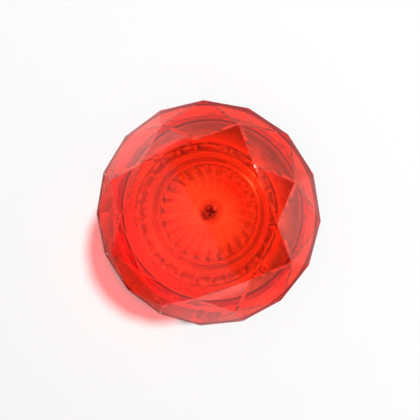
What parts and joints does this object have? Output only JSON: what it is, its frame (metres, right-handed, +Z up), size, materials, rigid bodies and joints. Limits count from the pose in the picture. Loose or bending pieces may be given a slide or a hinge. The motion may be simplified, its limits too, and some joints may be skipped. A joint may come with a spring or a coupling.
{
  "type": "magnetic warning beacon",
  "caption": "Magnetic warning beacon: a red gem-cut dome twists off a round black base with a ribbed ring lens, light board, driver board, cable gland and booted magnet.",
  "frame": {"origin": "middle of the flat underside of the rubber boot, which is the face that the magnet holds down", "axes": "+Z up along the beacon's axis, from the magnet to the flat table of the dome; -Y towards the cable gland"},
  "size_m": [0.127, 0.1429, 0.0874],
  "materials": {
    "red_dome": "clear red polycarbonate, polished flat facets",
    "clear_lens": "water-clear polycarbonate, polished, ribbed",
    "seal_rubber": "matt black rubber",
    "boot_rubber": "matt black rubber with a dusty bloom",
    "steel_fastener": "zinc-plated steel",
    "zinc_steel": "zinc-plated pressed steel",
    "brass_part": "turned brass",
    "white_board": "white solder mask",
    "green_board": "green solder mask",
    "diode_package": "white diode package with a phosphor window",
    "black_component": "moulded black epoxy",
    "ferrite_part": "dark grey hard ferrite",
    "capacitor_can": "drawn aluminium can",
    "green_nylon": "green nylon",
    "white_plastic": "white moulded plastic",
    "black_housing": "fine-grained black moulded plastic",
    "black_nylon": "black moulded nylon"
  },
  "bodies": {
    "base": {"dome_seal": "seal_rubber", "ring_lens": "clear_lens", "lens_screw": "steel_fastener", "lens_washer": "steel_fastener", "lens_insert": "brass_part", "led_board": "white_board", "leds_ring": "diode_package", "led_resistors": "black_component", "led_board_screws": "steel_fastener", "board_spacers": "brass_part", "driver_board": "green_board", "inductor": "ferrite_part", "capacitors": "capacitor_can", "driver_chips": "black_component", "rectifier_diodes": "black_component", "driver_resistors": "black_component", "link_header": "black_component", "terminal_block": "green_nylon", "terminal_screws": "steel_fastener", "deck_plate": "white_plastic", "deck_screws": "steel_fastener", "base_housing": "black_housing", "gland_body": "black_nylon", "gland_washer": "seal_rubber", "gland_locknut": "black_nylon", "gland_seal": "seal_rubber", "gland_cap": "black_nylon", "magnet_cup": "zinc_steel", "ring_magnet": "ferrite_part", "magnet_screws": "steel_fastener", "magnet_screw_seals": "seal_rubber", "rubber_boot": "boot_rubber"},
    "dome": {"dome": "red_dome"}
  },
  "joints": [
    {"name": "dome_turn", "type": "hinge", "parent": "base", "child": "dome", "pos_m": [0, 0, 0.0445], "axis": [0, 0, 1], "range_deg": [0, 30]}
  ]
}
